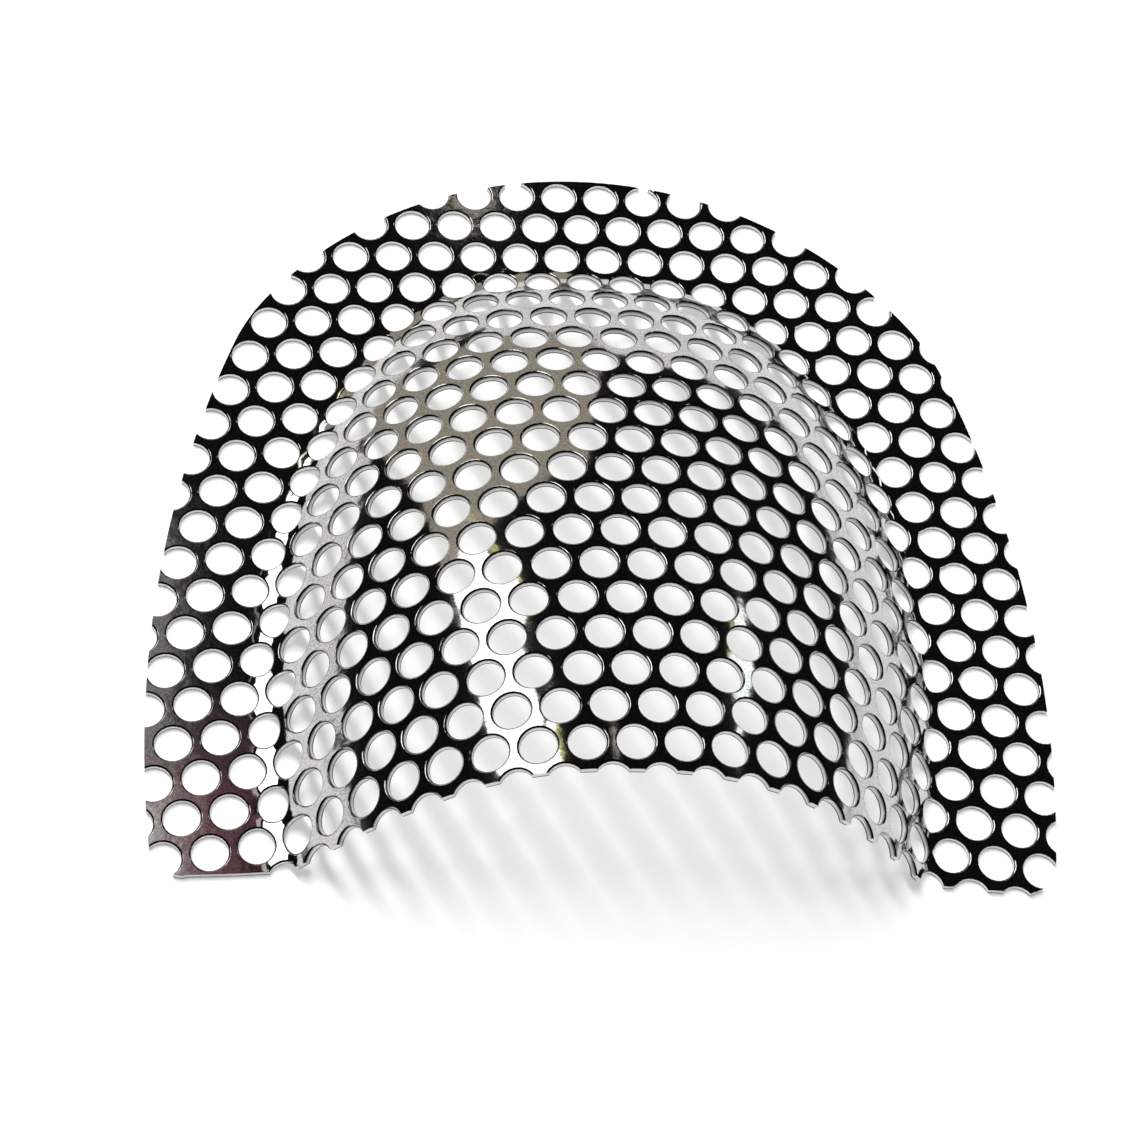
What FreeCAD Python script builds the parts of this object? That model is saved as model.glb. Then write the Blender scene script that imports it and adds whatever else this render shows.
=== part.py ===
import FreeCAD, Part
import math
import os

# Palatal denture mesh: one perforated sheet, pressed into an open-ended vault
# with a flat flange round it. All sizes are in millimetres.
# The origin is under the middle of the outline, on the plane that the flange
# lies on. +X is the wearer's left to right width, +Y points to the front.

# Sheet and perforation
sheet_thickness = 0.45
hole_pitch = 3.0
hole_diameter = 2.4
hole_sides = 8
pattern_shift_x = 1.2
pattern_shift_y = -0.7
pattern_turn = 0.45
least_edge_bite = 0.3

# Outline seen from above
outline_width = 59.6
outline_depth = 53.9
front_radius = 28.8
side_radius = 78.0
widest_from_rear = 11.6
shoulder_radius = 15.0
rear_corner_radius = 2.4
rear_edge_draw = 2.8
rear_edge_spread = 16.8
rear_edge_power = 2.5

# Vault, measured on its underside
vault_height = 12.3
vault_half_width = 21.0
front_flange = 8.3
crown_steady_share = 0.35
crown_front_power = 3.4
side_power = 2.4
side_drop_front = 9.3
side_drop_rear = 13.8
side_drop_power = 4.0

# Where the stretch of the metal leaves the holes, beyond what bending alone does
rear_pinch = 0.47
crown_lead = 0.3
leg_lag = 0.73

# How finely the curved surfaces and the forming of the blank are worked out
surface_step = 4.0
rear_edge_step = 3.6
forming_rounds = 500

# Places that follow from the sizes above
front_y = outline_depth / 2
rear_y = -outline_depth / 2
vault_front_y = front_y - front_flange
vault_length = vault_front_y - rear_y
hole_radius = hole_diameter / 2
row_step = hole_pitch * math.sqrt(3) / 2
edge_margin = 3.0
tool_depth = 6.0


# Height of the vault

def crown_height(y):
    # A steep front wall that eases into a gentle, steady climb to the rear
    along = (vault_front_y - y) / vault_length
    left = max(1 - along, 0)
    climb = crown_steady_share * along
    wall = (1 - crown_steady_share) * (1 - left ** crown_front_power)
    return vault_height * (climb + wall)


def vault_surface_height(x, y):
    # Below zero outside the foot of the vault, where the flange takes over
    along = max((vault_front_y - y) / vault_length, 0)
    drop = side_drop_front + (side_drop_rear - side_drop_front) * along ** side_drop_power
    return crown_height(y) - drop * (abs(x) / vault_half_width) ** side_power


def sheet_height(x, y):
    return max(vault_surface_height(x, y), 0)


def surface_normal(height, x, y, reach):
    # Upward normal from the heights on both sides, a reach away
    across = (height(x + reach, y) - height(x - reach, y)) / (2 * reach)
    along = (height(x, y + reach) - height(x, y - reach)) / (2 * reach)
    return FreeCAD.Vector(-across, -along, 1).normalize()


# Solids bounded by the vault surface

def vault_face(offset):
    # The vault as one smooth surface, moved outwards along its normals
    half_x = vault_half_width + 2 * edge_margin
    start_y = rear_y - 2 * edge_margin
    end_y = vault_front_y + edge_margin
    count_x = 2 * round(half_x / surface_step) + 1
    count_y = round((end_y - start_y) / surface_step) + 1
    grid = []
    for column in range(count_x):
        x = half_x * (2 * column / (count_x - 1) - 1)
        line = []
        for row in range(count_y):
            y = start_y + (end_y - start_y) * row / (count_y - 1)
            point = FreeCAD.Vector(x, y, vault_surface_height(x, y))
            normal = surface_normal(vault_surface_height, x, y, surface_step / 10)
            line.append(point + normal * offset)
        grid.append(line)
    surface = Part.BSplineSurface()
    surface.interpolate(grid)
    return surface.toShape()


def mound(offset, grow):
    # All that lies under the flange plane and under the vault surface, both
    # moved outwards by the offset
    size_x = outline_width + 2 * (edge_margin + grow)
    size_y = outline_depth + 2 * edge_margin + grow
    corner = FreeCAD.Vector(-size_x / 2, rear_y - edge_margin - grow, offset - tool_depth)
    slab = Part.makeBox(size_x, size_y, tool_depth, corner)
    space = Part.makeBox(size_x, size_y, tool_depth + 3 * vault_height, corner)
    under = vault_face(offset).extrude(FreeCAD.Vector(0, 0, -4 * vault_height))
    return slab.fuse(under.common(space)).removeSplitter()


# Outline

def outline_profile():
    # Sharp corners first, then each one rounded as an upright edge
    half_width = outline_width / 2
    widest_y = rear_y + widest_from_rear
    side_centre_x = half_width - side_radius
    front_centre_y = front_y - front_radius
    # Where the front arc and a side arc cross
    reach_x = -side_centre_x
    reach_y = front_centre_y - widest_y
    apart = math.hypot(reach_x, reach_y)
    foot = (apart ** 2 + side_radius ** 2 - front_radius ** 2) / (2 * apart)
    height = math.sqrt(side_radius ** 2 - foot ** 2)
    shoulder_x = side_centre_x + (foot * reach_x - height * reach_y) / apart
    shoulder_y = widest_y + (foot * reach_y + height * reach_x) / apart
    rear_x = side_centre_x + math.sqrt(side_radius ** 2 - (rear_y - widest_y) ** 2)
    right_rear = FreeCAD.Vector(rear_x, rear_y, 0)
    right_shoulder = FreeCAD.Vector(shoulder_x, shoulder_y, 0)
    left_shoulder = FreeCAD.Vector(-shoulder_x, shoulder_y, 0)
    left_rear = FreeCAD.Vector(-rear_x, rear_y, 0)
    right_side = Part.Arc(right_rear, FreeCAD.Vector(half_width, widest_y, 0), right_shoulder)
    front = Part.Arc(right_shoulder, FreeCAD.Vector(0, front_y, 0), left_shoulder)
    left_side = Part.Arc(left_shoulder, FreeCAD.Vector(-half_width, widest_y, 0), left_rear)
    rear = rear_edge_curve(left_rear, right_rear)
    return Part.Wire([right_side.toShape(), front.toShape(), left_side.toShape(), rear.toShape()])


def rear_edge_y(x):
    # Pressing the vault draws the straight rear edge of the blank forwards
    share = math.exp(-(abs(x) / rear_edge_spread) ** rear_edge_power)
    return rear_y + rear_edge_draw * share


def rear_edge_curve(left_rear, right_rear):
    steps = round((right_rear.x - left_rear.x) / rear_edge_step)
    points = [left_rear]
    for step in range(1, steps):
        x = right_rear.x * (2 * step / steps - 1)
        points.append(FreeCAD.Vector(x, rear_edge_y(x), 0))
    points.append(right_rear)
    arch = Part.BSplineCurve()
    arch.interpolate(points)
    return arch


def outline_block():
    face = Part.Face(outline_profile())
    block = face.extrude(FreeCAD.Vector(0, 0, 3 * vault_height))
    block.translate(FreeCAD.Vector(0, 0, -1))
    block = block.makeFillet(shoulder_radius, outer_corners(block, 0, front_y))
    return block.makeFillet(rear_corner_radius, outer_corners(block, rear_y - 1, rear_y + 1))


def outer_corners(block, from_y, to_y):
    # The upright edges of the outline's corners in a stretch of its depth
    corners = []
    for edge in block.Edges:
        place = edge.BoundBox.Center
        upright = edge.BoundBox.ZLength > 2 * vault_height
        if upright and from_y < place.y < to_y:
            corners.append(edge)
    return corners


def outline_distance(x, y):
    # How far inside the sharp-cornered outline a point lies, less than zero outside
    widest_y = rear_y + widest_from_rear
    side_centre_x = outline_width / 2 - side_radius
    to_side = side_radius - math.hypot(abs(x) - side_centre_x, y - widest_y)
    to_rear = y - rear_edge_y(x)
    if y < front_y - front_radius:
        return min(to_side, to_rear)
    to_front = front_radius - math.hypot(x, y - front_y + front_radius)
    return min(to_side, to_rear, to_front)


# Forming of the perforated blank

def blank_nodes():
    # Hole centres on the flat blank, in rows staggered by half a pitch. The
    # blank reaches past the outline by what the vault will draw in.
    reach = 2 * hole_pitch
    turn = math.radians(pattern_turn)
    side_draw = vault_height ** 2 / vault_half_width / 1.5
    rows = math.ceil(outline_depth / row_step)
    columns = math.ceil(outline_width / hole_pitch)
    nodes = {}
    for row in range(-rows, rows + 1):
        for column in range(-columns - rows, columns + rows + 1):
            x = (column + row / 2) * hole_pitch + pattern_shift_x
            y = row * row_step + pattern_shift_y
            drawn = side_draw * max(vault_front_y - y, 0) / vault_length
            if outline_distance(max(abs(x) - drawn, 0), y) > -reach:
                turned_x = x * math.cos(turn) - y * math.sin(turn)
                turned_y = x * math.sin(turn) + y * math.cos(turn)
                nodes[(column, row)] = [turned_x, turned_y]
    return nodes


def form_blank():
    # The sheet bends but hardly stretches, so every hole keeps its pitch to
    # its six neighbours while the blank settles on the vault. Each round
    # moves the two ends of every link by half of what it is too long.
    nodes = blank_nodes()
    heights = {}
    for key, place in nodes.items():
        heights[key] = sheet_height(place[0], place[1])
    links = []
    for column, row in nodes:
        for ahead in ((column + 1, row), (column, row + 1), (column - 1, row + 1)):
            if ahead in nodes:
                links.append(((column, row), ahead))
    for turn in range(forming_rounds):
        for first, second in links:
            start = nodes[first]
            end = nodes[second]
            across = end[0] - start[0]
            along = end[1] - start[1]
            rise = heights[second] - heights[first]
            length = math.sqrt(across ** 2 + along ** 2 + rise ** 2)
            share = (length - hole_pitch) / length / 2
            start[0] += across * share
            start[1] += along * share
            end[0] -= across * share
            end[1] -= along * share
        for key, place in nodes.items():
            heights[key] = sheet_height(place[0], place[1])
    return [stretched(x, y) for x, y in nodes.values()]


def stretched(x, y):
    # The pattern ends up narrower at the rear, ahead at the crown and behind
    # at the sides
    across = 2 * x / outline_width
    along = y / rear_y
    return x - rear_pinch * across * along, y + crown_lead - leg_lag * across ** 2


def hole_tool(x, y):
    # A hole square to the sheet, with as many flat sides as the sheet's count of
    # facets has room for and the area of the round hole that they stand for
    normal = surface_normal(sheet_height, x, y, hole_radius)
    centre = FreeCAD.Vector(x, y, sheet_height(x, y)) + normal * (sheet_thickness / 2)
    side = normal.cross(FreeCAD.Vector(0, 1, 0)).normalize()
    up = normal.cross(side)
    turn = 2 * math.pi / hole_sides
    radius = hole_radius * math.sqrt(turn / math.sin(turn))
    half_depth = sheet_thickness + hole_radius
    points = []
    for corner in range(hole_sides + 1):
        angle = turn * (corner % hole_sides + 0.5)
        spoke = side * (radius * math.cos(angle)) + up * (radius * math.sin(angle))
        points.append(centre + spoke - normal * half_depth)
    face = Part.Face(Part.makePolygon(points))
    return face.extrude(normal * (2 * half_depth))


def hole_tools():
    tools = []
    for x, y in form_blank():
        if outline_distance(x, y) > least_edge_bite - hole_radius:
            tools.append(hole_tool(x, y))
    return tools


def palatal_mesh():
    sheet = mound(sheet_thickness, 0).cut(mound(0, 1))
    return sheet.common(outline_block()).cut(hole_tools())


if __name__ == "__main__":
    os.makedirs("parts", exist_ok=True)
    shape = palatal_mesh()
    print("solids", len(shape.Solids), "faces", len(shape.Faces), "valid", shape.isValid())
    print("volume", round(shape.Volume, 2), "box", shape.optimalBoundingBox())
    shape.exportStep("parts/palatal_mesh.step")
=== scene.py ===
import math
import bpy
import numpy as np
from mathutils import Matrix, Vector


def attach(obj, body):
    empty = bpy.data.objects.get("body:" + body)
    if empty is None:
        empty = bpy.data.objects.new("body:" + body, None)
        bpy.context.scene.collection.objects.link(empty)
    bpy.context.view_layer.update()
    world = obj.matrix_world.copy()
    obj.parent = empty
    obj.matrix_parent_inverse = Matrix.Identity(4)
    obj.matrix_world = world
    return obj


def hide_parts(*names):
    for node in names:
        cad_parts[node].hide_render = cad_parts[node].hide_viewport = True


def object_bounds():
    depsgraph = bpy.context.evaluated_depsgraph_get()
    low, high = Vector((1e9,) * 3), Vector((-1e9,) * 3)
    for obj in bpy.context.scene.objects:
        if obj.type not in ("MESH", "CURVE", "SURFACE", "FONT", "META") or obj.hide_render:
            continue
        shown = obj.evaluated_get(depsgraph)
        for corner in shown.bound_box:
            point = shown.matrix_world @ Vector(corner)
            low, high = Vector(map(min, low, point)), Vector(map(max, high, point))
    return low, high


# A perforated sheet, pressed into a palate-shaped vault with a flat flange round it.
# Lengths in the dictionaries are in millimetres, angles in degrees.

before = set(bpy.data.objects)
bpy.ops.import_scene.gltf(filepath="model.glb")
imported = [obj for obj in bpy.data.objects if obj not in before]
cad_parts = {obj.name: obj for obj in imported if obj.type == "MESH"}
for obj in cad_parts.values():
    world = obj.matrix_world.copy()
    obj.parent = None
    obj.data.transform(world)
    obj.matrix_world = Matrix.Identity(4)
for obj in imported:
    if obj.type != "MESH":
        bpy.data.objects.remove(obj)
cadLow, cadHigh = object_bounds()
mm = 0.001
print("frame loaded, box", [round(v / mm, 2) for v in (*cadLow, *cadHigh)])


# Outline of the sheet, seen from above

outline = {
    "width": 59.6,
    "depth": 53.9,
    "frontRadius": 28.8,
    "sideRadius": 78.0,
    "widestFromRear": 11.6,
    "shoulderRadius": 15.0,
    "cornerRadius": 2.4,
    "rearDraw": 2.8,         # how far pressing pulls the rear edge forwards at the crown
    "rearSpread": 16.8,
    "rearPower": 2.5,
}
frontY = cadHigh.y / mm
rearY = frontY - outline["depth"]
halfWidth = outline["width"] / 2

# The pressed vault, measured on its underside

vault = {
    "height": 12.3,
    "halfWidth": 21.0,
    "frontFlange": 8.3,
    "steadyShare": 0.35,     # of the climb that goes on evenly to the rear
    "frontPower": 3.4,
    "sidePower": 2.4,
    "dropFront": 9.3,
    "dropRear": 13.8,
    "dropPower": 4.0,
    "foldSoft": 0.8,         # half of the height over which the foot bends up
    "foldSoftLeft": 0.5,
    "rampReach": 0.4,        # on the left a shallow ramp leads into the bend
    "rampReachRear": 2.3,
    "rampSlope": 0.16,       # of the wall's own slope
    "rampSoft": 0.3,
}
vaultFrontY = frontY - vault["frontFlange"]
vaultLength = vaultFrontY - rearY

# The punched blank

blank = {
    "thickness": 0.45,
    "pitch": 3.0,
    "holeDiameter": 2.4,
    "shiftX": 1.2,
    "shiftY": -0.7,
    "turn": 0.45,            # degrees that the blank lies askew
    "rearPinch": 0.47,       # where stretch leaves the holes, beyond what bending does
    "crownLead": 0.3,
    "legLag": 0.73,
    "leastBite": 0.3,        # a hole that would cut the edge by less is left out
    "rollWidth": 0.12,       # rounded edge that the punch leaves
    "rollDepth": 0.08,
    "burrLift": 0.02,
    "ringShares": (0.0, 0.35, 1.0, 1.0),   # of the roll's width, from the hole outwards
    "ringRolls": (1.0, 0.3, 0.002, 0.0),   # of the roll's depth; the last ring is the cell's edge
    "sides": 24,
    "drawDivisor": 1.5,      # a larger one leaves less of the blank for the vault's walls
    "formingRounds": 500,
    "mergeDistance": 0.01,
}
rowStep = blank["pitch"] * math.sqrt(3) / 2
holeRadius = blank["holeDiameter"] / 2


def crownHeight(y):
    along = (vaultFrontY - y) / vaultLength
    wall = 1 - np.maximum(1 - along, 0) ** vault["frontPower"]
    share = vault["steadyShare"]
    return vault["height"] * (share * along + (1 - share) * wall)


def vaultHeight(x, y):
    # below zero outside the foot of the vault
    along = np.maximum((vaultFrontY - y) / vaultLength, 0)
    drop = vault["dropFront"] + (vault["dropRear"] - vault["dropFront"]) * along ** vault["dropPower"]
    return crownHeight(y) - drop * (np.abs(x) / vault["halfWidth"]) ** vault["sidePower"]


def sharpHeight(x, y):
    return np.maximum(vaultHeight(x, y), 0)


def softStart(height, low, high):
    # what a slope that grows from none at low to one at high adds up to
    inside = np.clip(height - low, 0, high - low)
    return inside ** 2 / (2 * (high - low)) + np.maximum(height - high, 0)


def sheetHeight(x, y):
    # the fold at the foot is a soft bend, with a shallow ramp before it on the left
    height = vaultHeight(x, y)
    left = np.clip(-x / vault["halfWidth"], 0, 1)
    bend = vault["foldSoft"] + (vault["foldSoftLeft"] - vault["foldSoft"]) * left
    along = np.clip((vaultFrontY - y) / vaultLength, 0, 1)
    reach = vault["rampReach"] + (vault["rampReachRear"] - vault["rampReach"]) * along
    slope, soft = vault["rampSlope"] * left, vault["rampSoft"]
    ramp = softStart(height, -reach - soft, -reach + soft)
    wall = softStart(height, -bend, bend + 2 * slope * reach / (1 - slope))
    return slope * ramp + (1 - slope) * wall


def rearEdgeY(x):
    share = np.exp(-(np.abs(x) / outline["rearSpread"]) ** outline["rearPower"])
    return rearY + outline["rearDraw"] * share


# Signed distances inside the outline, with rounded shoulders and rear corners

def outlineDistance(x, y, rounded=True):
    x = np.abs(x)
    radius = outline["frontRadius"]
    sideRadius = outline["sideRadius"]
    frontCentre = np.array([0, frontY - radius])
    sideCentre = np.array([halfWidth - sideRadius, rearY + outline["widestFromRear"]])
    toFront = radius - np.hypot(x - frontCentre[0], y - frontCentre[1])
    toFront = np.where(y < frontCentre[1], radius, toFront)
    toSide = sideRadius - np.hypot(x - sideCentre[0], y - sideCentre[1])
    toRear = y - rearEdgeY(x)
    inside = np.minimum(np.minimum(toFront, toSide), toRear)
    if not rounded:
        return inside
    # shoulder: a smaller arc that touches the front arc and the side arc
    bend = outline["shoulderRadius"]
    centre = meetingPoint(frontCentre, radius - bend, sideCentre, sideRadius - bend, 1)
    towards = [centre - frontCentre, centre - sideCentre]
    away = np.stack([x - centre[0], y - centre[1]])
    before = towards[0][0] * away[1] - towards[0][1] * away[0] <= 0
    after = towards[1][0] * away[1] - towards[1][1] * away[0] >= 0
    corner = before & after
    inside = np.where(corner, np.minimum(bend - np.hypot(*away), toRear), inside)
    # rear corner: a small arc that touches the side arc and the straight rear edge
    bend = outline["cornerRadius"]
    drop = rearY + bend - sideCentre[1]
    centre = np.array([sideCentre[0] + math.sqrt((sideRadius - bend) ** 2 - drop ** 2), rearY + bend])
    towards = centre - sideCentre
    away = np.stack([x - centre[0], y - centre[1]])
    corner = (away[0] >= 0) & (towards[0] * away[1] - towards[1] * away[0] <= 0)
    return np.where(corner, bend - np.hypot(*away), inside)


def meetingPoint(first, firstRadius, second, secondRadius, side):
    # where two circles cross, on the chosen side
    reach = first - second
    apart = np.hypot(*reach)
    foot = (apart ** 2 + secondRadius ** 2 - firstRadius ** 2) / (2 * apart)
    height = math.sqrt(secondRadius ** 2 - foot ** 2)
    across = np.array([-reach[1], reach[0]])
    return second + (reach * foot + side * across * height) / apart


# Where the holes of the flat blank go when the vault is pressed

def blankNodes():
    # hole centres of the flat blank, past the outline by what the vault draws in
    pitch = blank["pitch"]
    reach = 2 * pitch
    sideDraw = vault["height"] ** 2 / vault["halfWidth"] / blank["drawDivisor"]
    depth, width = frontY - rearY, 2 * halfWidth
    rows, columns = math.ceil(depth / rowStep), math.ceil(width / pitch)
    nodes = {}
    for row in range(-rows, rows + 1):
        for column in range(-columns - rows, columns + rows + 1):
            x = (column + row / 2) * pitch + blank["shiftX"]
            y = row * rowStep + blank["shiftY"]
            drawn = sideDraw * max(vaultFrontY - y, 0) / vaultLength
            if outlineDistance(max(abs(x) - drawn, 0), y, rounded=False) > -reach:
                nodes[column, row] = [x, y]
    return nodes


def formNodes(nodes):
    # the sheet hardly stretches: every link between neighbours pulls back to the pitch
    keys = list(nodes)
    numbers = {key: number for number, key in enumerate(keys)}
    askew = math.radians(blank["turn"])
    turned = np.array([[math.cos(askew), -math.sin(askew)], [math.sin(askew), math.cos(askew)]])
    places = (np.array([nodes[key] for key in keys]) @ turned.T).tolist()
    links = []
    for column, row in keys:
        for ahead in ((column + 1, row), (column, row + 1), (column - 1, row + 1)):
            if ahead in numbers:
                links.append((numbers[column, row], numbers[ahead]))
    pitch = blank["pitch"]
    for sweep in range(blank["formingRounds"]):
        flat = np.array(places)
        heights = sharpHeight(flat[:, 0], flat[:, 1]).tolist()
        for first, second in links:
            start, end = places[first], places[second]
            across, along = end[0] - start[0], end[1] - start[1]
            length = math.sqrt(across ** 2 + along ** 2 + (heights[second] - heights[first]) ** 2)
            share = (length - pitch) / length / 2
            start[0] += across * share
            start[1] += along * share
            end[0] -= across * share
            end[1] -= along * share
    x, y = np.array(places).T
    across, along = x / halfWidth, y / rearY
    stretchedX = x - blank["rearPinch"] * across * along
    stretchedY = y + blank["crownLead"] - blank["legLag"] * across ** 2
    return {key: place for key, place in zip(keys, zip(stretchedX.tolist(), stretchedY.tolist()))}


flatNodes = blankNodes()
formedNodes = formNodes(flatNodes)
print("blank has", len(flatNodes), "hole places")


# Geometry nodes: the punched blank

def addSocket(tree, name, kind, into="INPUT"):
    return tree.interface.new_socket(name=name, in_out=into, socket_type=kind)


def addNode(tree, kind, inputs=None, **settings):
    node = tree.nodes.new(kind)
    for name, value in settings.items():
        setattr(node, name, value)
    for name, value in (inputs or {}).items():
        if isinstance(value, bpy.types.NodeSocket):
            tree.links.new(value, node.inputs[name])
        else:
            node.inputs[name].default_value = value
    return node


def mathNode(tree, operation, first, second=0.0, third=0.0):
    return addNode(tree, "ShaderNodeMath", {0: first, 1: second, 2: third}, operation=operation).outputs[0]


def makeHexReachTree():
    # from an angle to the edge of a hexagon that tiles with its neighbours
    tree = bpy.data.node_groups.new("hexReach", "GeometryNodeTree")
    addSocket(tree, "Angle", "NodeSocketFloat")
    addSocket(tree, "Pitch", "NodeSocketFloat")
    addSocket(tree, "Reach", "NodeSocketFloat", "OUTPUT")
    given = addNode(tree, "NodeGroupInput")
    half, whole = math.pi / 6, math.pi / 3
    turned = mathNode(tree, "ADD", given.outputs["Angle"], half)
    wrapped = mathNode(tree, "FLOORED_MODULO", turned, whole)
    fromMiddle = mathNode(tree, "COSINE", mathNode(tree, "SUBTRACT", wrapped, half))
    halfPitch = mathNode(tree, "MULTIPLY", given.outputs["Pitch"], 0.5)
    addNode(tree, "NodeGroupOutput", {"Reach": mathNode(tree, "DIVIDE", halfPitch, fromMiddle)})
    return tree


def ringValue(tree, ring, values):
    # one value for each ring round a hole
    switch = addNode(tree, "GeometryNodeIndexSwitch", data_type="FLOAT")
    for extra in values[2:]:
        switch.index_switch_items.new()
    tree.links.new(ring, switch.inputs["Index"])
    for number, value in enumerate(values):
        switch.inputs[number + 1].default_value = value
    return switch.outputs[0]


def makePunchedBlankTree():
    tree = bpy.data.node_groups.new("punchedBlank", "GeometryNodeTree")
    addSocket(tree, "Geometry", "NodeSocketGeometry")
    addSocket(tree, "Pitch", "NodeSocketFloat")
    addSocket(tree, "Hole Radius", "NodeSocketFloat")
    addSocket(tree, "Roll Width", "NodeSocketFloat")
    addSocket(tree, "Sides", "NodeSocketInt")
    addSocket(tree, "Merge Distance", "NodeSocketFloat")
    addSocket(tree, "Material", "NodeSocketMaterial")
    addSocket(tree, "Geometry", "NodeSocketGeometry", "OUTPUT")
    given = addNode(tree, "NodeGroupInput").outputs
    hexReach = makeHexReachTree()

    # a ring round one hole: a strip of squares, bent round into a circle
    columns = mathNode(tree, "ADD", given["Sides"], 1)
    outermost = len(blank["ringShares"]) - 1
    strip = addNode(tree, "GeometryNodeMeshGrid", {
        "Size X": 1.0, "Size Y": 1.0, "Vertices X": columns, "Vertices Y": outermost + 1})
    place = addNode(tree, "GeometryNodeInputPosition").outputs[0]
    parts = addNode(tree, "ShaderNodeSeparateXYZ", {0: place}).outputs
    angle = mathNode(tree, "MULTIPLY", parts["X"], -2 * math.pi)
    ring = mathNode(tree, "ROUND", mathNode(tree, "MULTIPLY_ADD", parts["Y"], outermost, outermost / 2))
    reach = addNode(tree, "GeometryNodeGroup", {}, node_tree=hexReach)
    tree.links.new(angle, reach.inputs["Angle"])
    tree.links.new(given["Pitch"], reach.inputs["Pitch"])
    share = ringValue(tree, ring, blank["ringShares"])
    rolled = mathNode(tree, "MULTIPLY_ADD", share, given["Roll Width"], given["Hole Radius"])
    isOuter = mathNode(tree, "GREATER_THAN", ring, outermost - 0.5)
    radius = addNode(tree, "ShaderNodeMix", {0: isOuter, 2: rolled, 3: reach.outputs[0]}).outputs[0]
    bent = addNode(tree, "ShaderNodeCombineXYZ", {
        0: mathNode(tree, "MULTIPLY", mathNode(tree, "COSINE", angle), radius),
        1: mathNode(tree, "MULTIPLY", mathNode(tree, "SINE", angle), radius)}).outputs[0]
    rolls = ringValue(tree, ring, blank["ringRolls"])
    marked = addNode(tree, "GeometryNodeStoreNamedAttribute", {
        "Geometry": strip.outputs["Mesh"], "Name": "roll", "Value": rolls})
    punchedCell = addNode(tree, "GeometryNodeSetPosition", {
        "Geometry": marked.outputs[0], "Position": bent}).outputs[0]

    # a cell with no hole, for the edge
    disc = addNode(tree, "GeometryNodeMeshCircle", {
        "Vertices": given["Sides"], "Radius": 1.0}, fill_type="TRIANGLE_FAN")
    discPlace = addNode(tree, "ShaderNodeSeparateXYZ", {
        0: addNode(tree, "GeometryNodeInputPosition").outputs[0]}).outputs
    discAngle = mathNode(tree, "ARCTAN2", discPlace["Y"], discPlace["X"])
    discReach = addNode(tree, "GeometryNodeGroup", {}, node_tree=hexReach)
    tree.links.new(discAngle, discReach.inputs["Angle"])
    tree.links.new(given["Pitch"], discReach.inputs["Pitch"])
    spread = addNode(tree, "ShaderNodeVectorMath", {
        0: addNode(tree, "GeometryNodeInputPosition").outputs[0],
        "Scale": discReach.outputs[0]}, operation="SCALE").outputs[0]
    plainCell = addNode(tree, "GeometryNodeSetPosition", {
        "Geometry": disc.outputs["Mesh"], "Position": spread}).outputs[0]

    # one cell on every place of the blank, then one mesh
    isPunched = addNode(tree, "GeometryNodeInputNamedAttribute", {"Name": "punched"}, data_type="BOOLEAN")
    notPunched = addNode(tree, "FunctionNodeBooleanMath", {
        0: isPunched.outputs["Attribute"]}, operation="NOT").outputs[0]
    cells = addNode(tree, "GeometryNodeJoinGeometry")
    for selection, cell in ((isPunched.outputs["Attribute"], punchedCell), (notPunched, plainCell)):
        placed = addNode(tree, "GeometryNodeInstanceOnPoints", {
            "Points": given["Geometry"], "Selection": selection, "Instance": cell})
        tree.links.new(placed.outputs[0], cells.inputs[0])
    real = addNode(tree, "GeometryNodeRealizeInstances", {"Geometry": cells.outputs[0]})
    merged = addNode(tree, "GeometryNodeMergeByDistance", {
        "Geometry": real.outputs[0], "Distance": given["Merge Distance"]})
    painted = addNode(tree, "GeometryNodeSetMaterial", {
        "Geometry": merged.outputs[0], "Material": given["Material"]})
    addNode(tree, "NodeGroupOutput", {"Geometry": painted.outputs[0]})
    return tree


def makeFlatBlank(material):
    # the lattice of hole places carries the tree, whose result becomes a plain mesh
    keys = list(flatNodes)
    formed = np.array([formedNodes[key] for key in keys])
    inside = outlineDistance(formed[:, 0], formed[:, 1], rounded=False)
    lattice = bpy.data.meshes.new("holePlaces")
    lattice.from_pydata([(x * mm, y * mm, 0) for x, y in flatNodes.values()], [], [])
    punched = lattice.attributes.new("punched", "BOOLEAN", "POINT")
    punched.data.foreach_set("value", inside > blank["leastBite"] - holeRadius)
    carrier = bpy.data.objects.new("holePlaces", lattice)
    bpy.context.collection.objects.link(carrier)
    modifier = carrier.modifiers.new("punchedBlank", "NODES")
    modifier.node_group = makePunchedBlankTree()
    values = {
        "Pitch": blank["pitch"] * mm,
        "Hole Radius": holeRadius * mm,
        "Roll Width": blank["rollWidth"] * mm,
        "Sides": blank["sides"],
        "Merge Distance": blank["mergeDistance"] * mm,
        "Material": material,
    }
    for item in modifier.node_group.interface.items_tree:
        if item.in_out == "INPUT" and item.name in values:
            modifier[item.identifier] = values[item.name]
    graph = bpy.context.evaluated_depsgraph_get()
    flat = bpy.data.meshes.new_from_object(carrier.evaluated_get(graph))
    bpy.data.objects.remove(carrier)
    return flat


# Pressing: from the flat blank to the formed sheet

def nodeShifts():
    # how far each hole place moves, as a full grid, with the gaps filled from the sides
    keys = np.array(list(flatNodes))
    low, high = keys.min(0) - 2, keys.max(0) + 3
    shifts = np.zeros((*(high - low), 2))
    known = np.zeros(high - low, bool)
    for key, place in flatNodes.items():
        cell = tuple(np.array(key) - low)
        shifts[cell] = np.array(formedNodes[key]) - place
        known[cell] = True
    filled = known.copy()
    steps = ((1, 0), (-1, 0), (0, 1), (0, -1), (1, -1), (-1, 1))
    for sweep in range(6):
        total, count = np.zeros_like(shifts), np.zeros(filled.shape)
        for step in steps:
            total += np.roll(shifts * filled[..., None], step, (0, 1))
            count += np.roll(filled, step, (0, 1))
        fresh = ~filled & (count > 0)
        shifts[fresh] = total[fresh] / count[fresh][:, None]
        filled |= fresh
    return low, shifts


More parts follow.
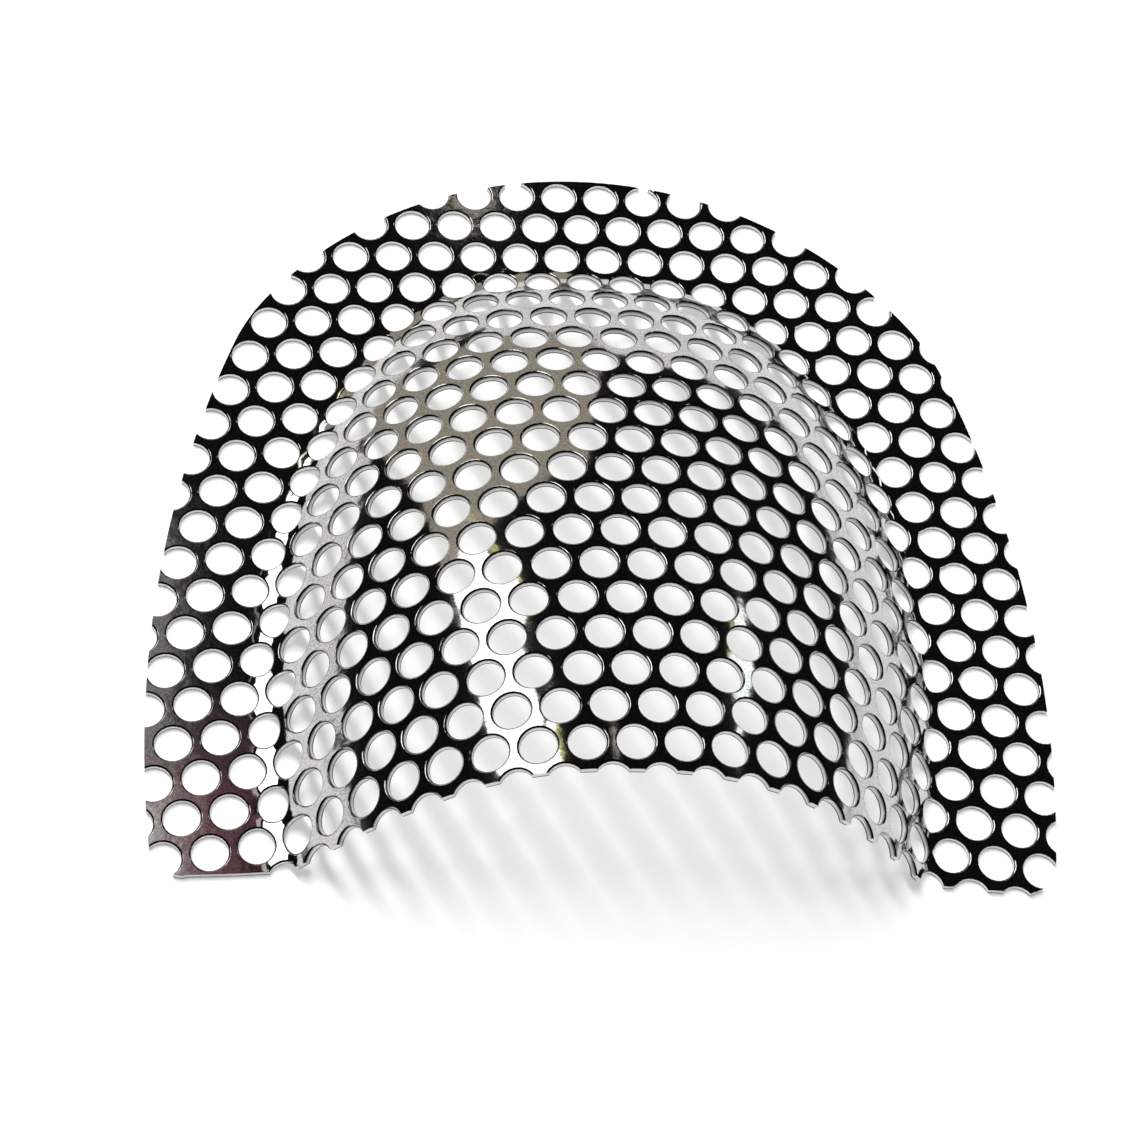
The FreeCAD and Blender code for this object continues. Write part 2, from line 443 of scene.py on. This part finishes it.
def cubicWeights(t):
    # smooth curve through four neighbours in a row
    return np.stack([
        -0.5 * t + t ** 2 - 0.5 * t ** 3,
        1 - 2.5 * t ** 2 + 1.5 * t ** 3,
        0.5 * t + 2 * t ** 2 - 1.5 * t ** 3,
        -0.5 * t ** 2 + 0.5 * t ** 3])


def drawIn(x, y):
    # plan place of each point of the blank after pressing
    low, shifts = nodeShifts()
    row = (y - blank["shiftY"]) / rowStep
    column = (x - blank["shiftX"]) / blank["pitch"] - row / 2
    baseColumn, baseRow = np.floor(column).astype(int), np.floor(row).astype(int)
    acrossWeights, alongWeights = cubicWeights(column - baseColumn), cubicWeights(row - baseRow)
    moved = np.zeros((len(x), 2))
    for i in range(4):
        for j in range(4):
            gridColumn = np.clip(baseColumn + i - 1 - low[0], 0, shifts.shape[0] - 1)
            gridRow = np.clip(baseRow + j - 1 - low[1], 0, shifts.shape[1] - 1)
            moved += (acrossWeights[i] * alongWeights[j])[:, None] * shifts[gridColumn, gridRow]
    return x + moved[:, 0], y + moved[:, 1]


def trimToOutline(places, faces):
    # cuts every face along the outline; places holds x, y and what else a point carries
    inside = outlineDistance(places[:, 0], places[:, 1])
    inside[np.abs(inside) < blank["mergeDistance"]] = 0
    places, inside = places.tolist(), inside.tolist()
    cuts, kept = {}, []
    for face in faces:
        if max(inside[v] for v in face) <= 0:
            continue
        ring = []
        for a, b in zip(face, face[1:] + face[:1]):
            if inside[a] >= 0:
                ring.append(a)
            if inside[a] * inside[b] < 0:
                key = (min(a, b), max(a, b))
                if key not in cuts:
                    share = inside[a] / (inside[a] - inside[b])
                    cuts[key] = len(places)
                    places.append([p + (q - p) * share for p, q in zip(places[a], places[b])])
                    inside.append(0)
                ring.append(cuts[key])
        if len(ring) > 2:
            kept.append(ring)
    used = sorted({v for face in kept for v in face})
    order = {v: number for number, v in enumerate(used)}
    return np.array([places[v] for v in used]), [[order[v] for v in face] for face in kept]


def surfaceNormals(x, y, reach=0.02):
    slopeX = (sheetHeight(x + reach, y) - sheetHeight(x - reach, y)) / (2 * reach)
    slopeY = (sheetHeight(x, y + reach) - sheetHeight(x, y - reach)) / (2 * reach)
    normals = np.stack([-slopeX, -slopeY, np.ones_like(x)], 1)
    return normals / np.linalg.norm(normals, axis=1)[:, None]


tear = {
    "nearest": 1.4,          # from the foot of the right wall to the hole's middle
    "farthest": 4.4,
    "frontmost": 15,
    "angle": 156,
    "wander": 14,
    "depth": 0.14,
    "reach": 0.30,           # past the hole's edge, where the web is whole again
}


def tearRims(x, y):
    # a short tear in the rim of each flange hole beside the right wall
    x, y = x.copy(), y.copy()
    for number, (holeX, holeY) in enumerate(formedNodes.values()):
        offWall = vaultHeight(holeX - tear["nearest"], holeY) < 0
        nearWall = vaultHeight(holeX - tear["farthest"], holeY) > 0
        if holeX < tear["farthest"] or holeY > tear["frontmost"] or not (offWall and nearWall):
            continue
        angle = math.radians(tear["angle"] + tear["wander"] * math.sin(5 * number))
        radius = np.hypot(x - holeX, y - holeY)
        turn = np.arctan2(y - holeY, x - holeX) - angle
        turn = np.abs((turn + math.pi) % (2 * math.pi) - math.pi)
        onSpoke = (turn < math.pi / blank["sides"]) & (radius < holeRadius + tear["reach"])
        left = np.clip(1 - (radius - holeRadius) / tear["reach"], 0, 1)
        push = np.where(onSpoke, tear["depth"] * left, 0)
        x += math.cos(angle) * push
        y += math.sin(angle) * push
    return x, y


def makeSheet(material):
    flat = makeFlatBlank(material)
    count = len(flat.vertices)
    co = np.empty(count * 3)
    flat.vertices.foreach_get("co", co)
    co = co.reshape(-1, 3) / mm
    roll = np.empty(count)
    flat.attributes["roll"].data.foreach_get("value", roll)
    faces = [list(face.vertices) for face in flat.polygons]
    print("flat blank has", count, "points and", len(faces), "faces")

    x, y = drawIn(co[:, 0], co[:, 1])
    carried = np.stack([x, y, roll, co[:, 0], co[:, 1]], 1)
    carried, faces = trimToOutline(carried, faces)
    x, y, roll, blankX, blankY = carried.T
    x, y = tearRims(x, y)
    print("trimmed sheet has", len(faces), "faces")

    # two skins, a sheet's thickness apart, joined by walls round the holes and the outline
    under = np.stack([x, y, sheetHeight(x, y)], 1)
    normals = surfaceNormals(x, y)
    top = under + normals * (blank["thickness"] - blank["rollDepth"] * roll)[:, None]
    bottom = under + normals * (blank["burrLift"] * roll)[:, None]
    amount = len(x)
    openEdges = {}
    for face in faces:
        for a, b in zip(face, face[1:] + face[:1]):
            if (b, a) in openEdges:
                del openEdges[b, a]
            else:
                openEdges[a, b] = True
    walls = [[a, a + amount, b + amount, b] for a, b in openEdges]
    undersides = [[v + amount for v in reversed(face)] for face in faces]
    mesh = bpy.data.meshes.new("perforatedSheet")
    mesh.from_pydata((np.concatenate([top, bottom]) * mm).tolist(), [], faces + undersides + walls)
    mesh.materials.append(material)

    place = mesh.attributes.new("blankPlace", "FLOAT_VECTOR", "POINT")
    blankZ = np.repeat([blank["thickness"], 0], amount)
    flatPlace = np.stack([np.tile(blankX, 2), np.tile(blankY, 2), blankZ], 1)
    place.data.foreach_set("vector", (flatPlace * mm).ravel())
    # rim, depth and facingUp also place the painted shade at the hole rims and on the cut walls
    for name, values in (
            ("drawn", np.tile(1 - normals[:, 2], 2)),
            ("rim", np.concatenate([roll, np.zeros(amount)])),
            ("depth", np.repeat([0.0, 1.0], amount))):
        attribute = mesh.attributes.new(name, "FLOAT", "POINT")
        attribute.data.foreach_set("value", values)
    isWall = np.zeros(len(mesh.polygons))
    isWall[2 * len(faces):] = 1
    facing = np.empty(len(mesh.polygons) * 3)
    mesh.polygons.foreach_get("normal", facing)
    for name, values in (("cutEdge", isWall), ("facingUp", np.maximum(facing[2::3], 0))):
        attribute = mesh.attributes.new(name, "FLOAT", "FACE")
        attribute.data.foreach_set("value", values)
    mesh.polygons.foreach_set("use_smooth", np.ones(len(mesh.polygons), bool))
    softenRolls(mesh, np.tile(roll, 2), amount)
    mesh.validate()
    sheet = bpy.data.objects.new("perforatedSheet", mesh)
    bpy.context.collection.objects.link(sheet)
    print("sheet has", len(mesh.polygons), "faces")
    return sheet


def softenRolls(mesh, roll, amount):
    # edges turn sharply at the rims, but the punch's rounding on the top is smooth
    rounded = 0.1            # more roll than this lies on the rounding
    creased = 0.001          # and between this and that, where it starts
    mesh.set_sharp_from_angle(angle=math.radians(18))
    pairs = np.empty(len(mesh.edges) * 2, int)
    mesh.edges.foreach_get("vertices", pairs)
    pairs = pairs.reshape(-1, 2)
    onTop = pairs.max(1) < amount
    low, high = roll[pairs].min(1), roll[pairs].max(1)
    sharp = mesh.attributes["sharp_edge"]
    values = np.empty(len(mesh.edges), bool)
    sharp.data.foreach_get("value", values)
    values[onTop & (low > rounded)] = False
    # the flat skin keeps its own normals up to the rounding
    values[onTop & (low > creased) & (high < rounded)] = True
    sharp.data.foreach_set("value", values)


# Polished steel

finish = {
    "colour": (0.54, 0.53, 0.515, 1),
    "cutColour": (0.88, 0.875, 0.86, 1),
    "paintedShadeColour": (0.03, 0.03, 0.033, 1),       # painted shade: a dark outline round each hole, a painted contact shadow at the foot of each cut, darker cut walls facing up
    "rimDark": 0.9,
    "upDark": 0.75,
    "footDark": 0.95,
    "cutMatt": 0.55,
    "grainContrast": 0.6,
    "roughness": 0.03,
    "smudgeRoughness": 0.05,
    "drawnRoughness": 0.05,
    "cutRoughness": 0.30,
    "dust": 0.10,
    "reliefDepth": 0.006,
    "grainScale": 7000,                   # this and the next four are per metre
    "smudgeScale": 260,
    "lineScale": 5000,
    "peelScale": 900,
    "rippleScale": 3000,
    "lineStretch": (0.04, 1.0, 1.0),      # rolling lines run along X
    "rimFade": (0.0, 0.35),               # each fade is from none to all of an effect
    "rimPatches": (0.2, 0.5),
    "footFade": (0.68, 0.86),
    "upFade": (0.05, 0.4),
    "upEnd": (0.1, 0.4),
    "speckPower": 8.0,
    "peelFlat": 0.5,
    "peelDrawn": 4.5,
    "rippleHeight": 0.12,
    "lineHeight": 0.05,
}


def makeWearAndShadeTree():
    # rolling lines, dust, smudges, painted shade at the hole rims and on the cut walls, and the ripple of
    # the stretched walls
    tree = bpy.data.node_groups.new("steelWearAndShade", "ShaderNodeTree")
    addSocket(tree, "Place", "NodeSocketVector")
    for name in ("Drawn", "Cut", "Rim", "Depth", "Up"):
        addSocket(tree, name, "NodeSocketFloat")
    addSocket(tree, "Colour", "NodeSocketColor", "OUTPUT")
    for name in ("Roughness", "Metallic", "Height"):
        addSocket(tree, name, "NodeSocketFloat", "OUTPUT")
    given = addNode(tree, "NodeGroupInput").outputs

    def noise(scale, detail, place):
        return addNode(tree, "ShaderNodeTexNoise", {
            "Vector": place, "Scale": finish[scale], "Detail": detail}).outputs[0]

    def mix(factor, first, second, blend="MIX"):
        return addNode(tree, "ShaderNodeMix", {0: factor, 6: first, 7: second},
                       data_type="RGBA", blend_type=blend).outputs[2]

    def grow(value, fade):
        low, high = finish[fade]
        return addNode(tree, "ShaderNodeMapRange", {
            "Value": value, "From Min": low, "From Max": high}, interpolation_type="SMOOTHSTEP").outputs[0]

    stretched = addNode(tree, "ShaderNodeVectorMath", {
        0: given["Place"], 1: finish["lineStretch"]}, operation="MULTIPLY").outputs[0]
    grain = noise("grainScale", 2, given["Place"])
    smudge = noise("smudgeScale", 3, given["Place"])
    lines = noise("lineScale", 2, stretched)
    peel = noise("peelScale", 2, given["Place"])
    ripple = noise("rippleScale", 2, given["Place"])

    # colour: fine grain on the skin, a pale cut, and painted shade at the hole rims, at the foot of each
    # cut and on cut walls that face up
    centred = mathNode(tree, "SUBTRACT", grain, 0.5)
    shade = mathNode(tree, "MULTIPLY_ADD", centred, 2 * finish["grainContrast"], 1.0)
    skin = mix(1.0, finish["colour"], addNode(tree, "ShaderNodeCombineXYZ", {
        0: shade, 1: shade, 2: shade}).outputs[0], "MULTIPLY")
    # painted shade: a dark outline on the rolled rim of each hole, in patches set by the smudge noise
    rimShade = mathNode(tree, "MULTIPLY", grow(given["Rim"], "rimFade"), finish["rimDark"])
    skin = mix(mathNode(tree, "MULTIPLY", rimShade, grow(smudge, "rimPatches")), skin, finish["paintedShadeColour"])
    # painted contact shadow: the cut wall darkens towards its foot
    foot = mathNode(tree, "MULTIPLY", grow(given["Depth"], "footFade"), finish["footDark"])
    # painted shade on cut walls that face up, strongest near the top skin and gone lower down
    up = mathNode(tree, "MULTIPLY", grow(given["Up"], "upFade"), finish["upDark"])
    nearTop = mathNode(tree, "SUBTRACT", 1.0, grow(given["Depth"], "upEnd"))
    up = mathNode(tree, "MULTIPLY", up, nearTop)
    cutSkin = mix(mathNode(tree, "MAXIMUM", foot, up), finish["cutColour"], finish["paintedShadeColour"])
    colour = mix(given["Cut"], skin, cutSkin)

    roughness = mathNode(tree, "MULTIPLY_ADD", smudge, finish["smudgeRoughness"], finish["roughness"])
    roughness = mathNode(tree, "MULTIPLY_ADD", given["Drawn"], finish["drawnRoughness"], roughness)
    roughness = mathNode(tree, "MULTIPLY_ADD", given["Cut"], finish["cutRoughness"], roughness)
    specks = mathNode(tree, "POWER", grain, finish["speckPower"])
    specks = mathNode(tree, "MULTIPLY", specks, finish["dust"] * 2)
    matt = mathNode(tree, "MULTIPLY_ADD", given["Cut"], finish["cutMatt"], specks)
    metallic = mathNode(tree, "SUBTRACT", 1.0, matt)
    waviness = mathNode(tree, "MULTIPLY_ADD", given["Drawn"], finish["peelDrawn"], finish["peelFlat"])
    waves = mathNode(tree, "MULTIPLY", peel, waviness)
    rolling = mathNode(tree, "MULTIPLY", lines, finish["lineHeight"])
    fine = mathNode(tree, "MULTIPLY_ADD", ripple, finish["rippleHeight"], rolling)
    height = mathNode(tree, "ADD", waves, fine)
    addNode(tree, "NodeGroupOutput", {
        "Colour": colour, "Roughness": roughness, "Metallic": metallic, "Height": height})
    return tree


def makeSteel():
    steel = bpy.data.materials.new("polishedSteel")
    steel.use_nodes = True
    tree = steel.node_tree
    shader = tree.nodes["Principled BSDF"]
    wearAndShade = addNode(tree, "ShaderNodeGroup", node_tree=makeWearAndShadeTree())
    for name, source, output in (
            ("Place", "blankPlace", "Vector"), ("Drawn", "drawn", "Fac"), ("Cut", "cutEdge", "Fac"),
            ("Rim", "rim", "Fac"), ("Depth", "depth", "Fac"), ("Up", "facingUp", "Fac")):
        attribute = addNode(tree, "ShaderNodeAttribute", attribute_name=source)
        tree.links.new(attribute.outputs[output], wearAndShade.inputs[name])
    tree.links.new(wearAndShade.outputs["Colour"], shader.inputs["Base Color"])
    tree.links.new(wearAndShade.outputs["Roughness"], shader.inputs["Roughness"])
    tree.links.new(wearAndShade.outputs["Metallic"], shader.inputs["Metallic"])
    bump = addNode(tree, "ShaderNodeBump", {
        "Height": wearAndShade.outputs["Height"], "Strength": 1.0, "Distance": finish["reliefDepth"] * mm})
    tree.links.new(bump.outputs[0], shader.inputs["Normal"])
    return steel


# Stage: a pale floor, plain soft light, and a dark hood that the mirror finish shows

stage = {
    "floorSize": 4000,
    "floorColour": (0.80, 0.80, 0.80, 1),
    "floorLift": 0.35,
    "floorRoughness": 0.9,
    "ambient": 0.22,
    "panelSteps": 24,                     # each way, so that a patch of the sphere is smooth
    "lampSize": (0.42, 0.10),             # in metres, as is its place
    "lampPlace": (-0.12, 0.22, 0.56),
    "lampLongSide": (0.5, -0.86, 0),      # the way that its long side lies
    "lampEnergy": 3.26,
}


def lightMask(tree):
    # one where the camera, a reflection or a see-through ray looks
    path = tree.nodes.new("ShaderNodeLightPath").outputs
    seen = mathNode(tree, "MAXIMUM", path["Is Camera Ray"], path["Is Glossy Ray"])
    return mathNode(tree, "MAXIMUM", seen, path["Is Transmission Ray"])


def makeFloor():
    material = bpy.data.materials.new("paleFloor")
    material.use_nodes = True
    tree = material.node_tree
    shader = tree.nodes["Principled BSDF"]
    shader.inputs["Base Color"].default_value = stage["floorColour"]
    shader.inputs["Roughness"].default_value = stage["floorRoughness"]
    shader.inputs["Specular IOR Level"].default_value = 0
    shader.inputs["Emission Color"].default_value = (1, 1, 1, 1)
    lift = mathNode(tree, "MULTIPLY", lightMask(tree), stage["floorLift"])
    tree.links.new(lift, shader.inputs["Emission Strength"])
    half = stage["floorSize"] / 2 * mm
    mesh = bpy.data.meshes.new("floor")
    corners = [(-half, -half, 0), (half, -half, 0), (half, half, 0), (-half, half, 0)]
    mesh.from_pydata(corners, [], [(0, 1, 2, 3)])
    mesh.materials.append(material)
    floor = bpy.data.objects.new("floor", mesh)
    floor.location.z = cadLow.z
    bpy.context.collection.objects.link(floor)


def makeWorld():
    world = bpy.data.worlds.new("studio")
    bpy.context.scene.world = world
    world.use_nodes = True
    tree = world.node_tree
    background = tree.nodes["Background"]
    background.inputs["Color"].default_value = (1, 1, 1, 1)
    strength = mathNode(tree, "MULTIPLY_ADD", lightMask(tree), 1 - stage["ambient"], stage["ambient"])
    tree.links.new(strength, background.inputs["Strength"])


def makePanel(name, azimuths, elevations, colour, strength, radius, lean=(0, 0)):
    # a patch of a sphere round the object, which only reflections see; its left and
    # right ends lean by so many degrees from the bottom to the top; its radius is in metres
    steps = stage["panelSteps"]
    points = []
    for share in np.linspace(0, 1, steps + 1):
        elevation = math.radians(elevations[0] + (elevations[1] - elevations[0]) * share)
        ends = [azimuth + tilt * share for azimuth, tilt in zip(azimuths, lean)]
        for azimuth in np.radians(np.linspace(*ends, steps + 1)):
            flat, height = math.cos(elevation) * radius, math.sin(elevation) * radius
            points.append((math.sin(azimuth) * flat, math.cos(azimuth) * flat, height))
    faces = []
    for i in range(steps):
        for j in range(steps):
            start = i * (steps + 1) + j
            faces.append((start, start + steps + 1, start + steps + 2, start + 1))
    mesh = bpy.data.meshes.new(name)
    mesh.from_pydata(points, [], faces)
    material = bpy.data.materials.new(name)
    material.use_nodes = True
    tree = material.node_tree
    tree.nodes.remove(tree.nodes["Principled BSDF"])
    glow = addNode(tree, "ShaderNodeEmission", {"Color": (*colour, 1), "Strength": strength})
    tree.links.new(glow.outputs[0], tree.nodes["Material Output"].inputs["Surface"])
    mesh.materials.append(material)
    panel = bpy.data.objects.new(name, mesh)
    bpy.context.collection.objects.link(panel)
    panel.visible_camera = False
    panel.visible_diffuse = False
    panel.visible_shadow = False


# what the mirror finish shows; azimuth 0 is along +Y and 90 along +X
# each row: name, azimuths, elevations, colour, strength, radius in metres and lean
hoodColour = (0.006, 0.006, 0.0065)
lampColour = (1.0, 1.0, 0.98)
fringeColour = (0.85, 0.82, 0.35)
cardColour = (0.44, 0.402, 0.341)
hood = [
    ("darkHood", (-180, 180), (16, 90), hoodColour, 1.0, 20),
    ("darkLeftRear", (-180, -68), (3, 17), hoodColour, 1.0, 20),
    ("darkLeftMiddle", (-68, -60), (6, 17), hoodColour, 1.0, 20),
    ("darkLeft", (-60, -40), (7.8, 17), hoodColour, 1.0, 20),
    ("darkFront", (-40, -8), (3.5, 17), hoodColour, 1.0, 20),
    ("darkMiddle", (-8, 8), (9.5, 17), hoodColour, 1.0, 20),
    ("darkMiddleRight", (8, 17), (11, 17), hoodColour, 1.0, 20),
    ("darkTurn", (17, 27), (8.5, 17), hoodColour, 1.0, 20),
    ("darkTurnRight", (27, 36), (5.5, 17), hoodColour, 1.0, 20),
    ("darkRight", (36, 76), (1.5, 17), hoodColour, 1.0, 20),
    ("darkRightRear", (76, 180), (6.5, 17), hoodColour, 1.0, 20),
    ("beigeCardFoot", (-38, -25), (3, 6.5), cardColour, 1.0, 19.5),
    ("beigeCard", (-38, 7.5), (6.5, 22), cardColour, 1.0, 19.5),
    ("beigeCardTop", (-38, 7.5), (22, 33), cardColour, 1.0, 19.5, (-4, -2)),
    ("beigeCardTip", (-42, 5.5), (33, 36.5), cardColour, 1.0, 19.5, (2, -15)),
    ("softbox", (-41, -30), (33, 57), lampColour, 3.0, 19, (-13, 8)),
    ("softboxTop", (-55, -23), (56, 67), lampColour, 3.0, 19),
    ("softboxLeft", (-68, -50), (47, 62), lampColour, 3.0, 19),
    ("softboxHigh", (-30, -17), (53, 57.5), lampColour, 3.0, 19),
    ("softboxLow", (-32, -21), (42.5, 47), lampColour, 3.0, 19),
    ("softboxHighFringe", (-17, -15.5), (53, 57.5), fringeColour, 1.0, 18.9),
    ("softboxLowFringe", (-21, -19.5), (42.5, 47), fringeColour, 1.0, 18.9),
    ("softboxFringe", (-30, -28.5), (33, 42.5), fringeColour, 1.0, 18.9, (5, 5.5)),
    ("smallLamp", (41, 48), (33, 39), (0.88, 0.98, 0.94), 2.0, 19),
    ("smallLampFringe", (40, 41.2), (36, 39), fringeColour, 1.0, 19),
    ("cornerShade", (-10, 3.4), (65.5, 76), (0.075, 0.045, 0.050), 1.0, 19),
    ("cornerGlow", (-10, 3.4), (67.1, 76), (0.19, 0.080, 0.095), 1.0, 18.95),
    ("cornerBlush", (-10, 0.6), (66.6, 76), (0.32, 0.21, 0.22), 1.0, 18.9),
    ("cornerLamp", (-10, -0.9), (67.3, 76), (0.75, 0.72, 0.70), 1.0, 18.8),
    ("sideShade", (-5, 0.2), (61.5, 66.6), (0.05, 0.05, 0.05), 1.0, 18.85),
    ("sideGlow", (-5, -0.9), (62, 66.6), (0.32, 0.31, 0.31), 1.0, 18.8),
    ("frontGlint", (8.2, 9.8), (54.6, 55.1), (0.95, 0.90, 0.80), 1.0, 19),
]


def makeLamps():
    lamp = bpy.data.lights.new("stripLamp", "AREA")
    lamp.shape = "RECTANGLE"
    lamp.size, lamp.size_y = stage["lampSize"]
    lamp.energy = stage["lampEnergy"]
    strip = bpy.data.objects.new("stripLamp", lamp)
    bpy.context.collection.objects.link(strip)
    strip.location = stage["lampPlace"]
    aim = (Vector((0, 0, 0)) - strip.location).normalized()
    longSide = Vector(stage["lampLongSide"])
    longSide = (longSide - aim * longSide.dot(aim)).normalized()
    turned = Matrix((longSide, (-aim).cross(longSide), -aim)).transposed().to_4x4()
    strip.matrix_world = Matrix.Translation(strip.location) @ turned
    strip.visible_glossy = False


# Camera: the photograph's view, worked out from the hole pattern

shot = {
    "azimuth": -15.726,
    "elevation": 61.542,
    "roll": -15.915,
    "distance": 192.98,
    "target": (-2.256, -4.203, 0.225),
    "viewAngle": 22.26,
}


def makeCamera():
    azimuth, elevation, roll = (math.radians(shot[name]) for name in ("azimuth", "elevation", "roll"))
    away = math.cos(elevation)
    back = Vector((math.sin(azimuth) * away, -math.cos(azimuth) * away, math.sin(elevation)))
    level = Vector((math.cos(azimuth), math.sin(azimuth), 0))
    down = level.cross(back)
    right = level * math.cos(roll) + down * math.sin(roll)
    up = back.cross(right)
    camera = bpy.data.cameras.new("camera")
    camera.angle = math.radians(shot["viewAngle"])
    camera.sensor_fit = "HORIZONTAL"
    camera.clip_start = 0.01
    holder = bpy.data.objects.new("camera", camera)
    bpy.context.collection.objects.link(holder)
    place = Vector(shot["target"]) * mm + back * shot["distance"] * mm
    holder.matrix_world = Matrix.Translation(place) @ Matrix((right, up, back)).transposed().to_4x4()
    bpy.context.scene.camera = holder


steel = makeSteel()
sheet = makeSheet(steel)
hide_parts("palatal_mesh")
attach(sheet, "root")
makeFloor()
makeWorld()
for panel in hood:
    makePanel(*panel)
makeLamps()
makeCamera()
bpy.context.scene.view_settings.view_transform = "Standard"
print("stage and camera made")
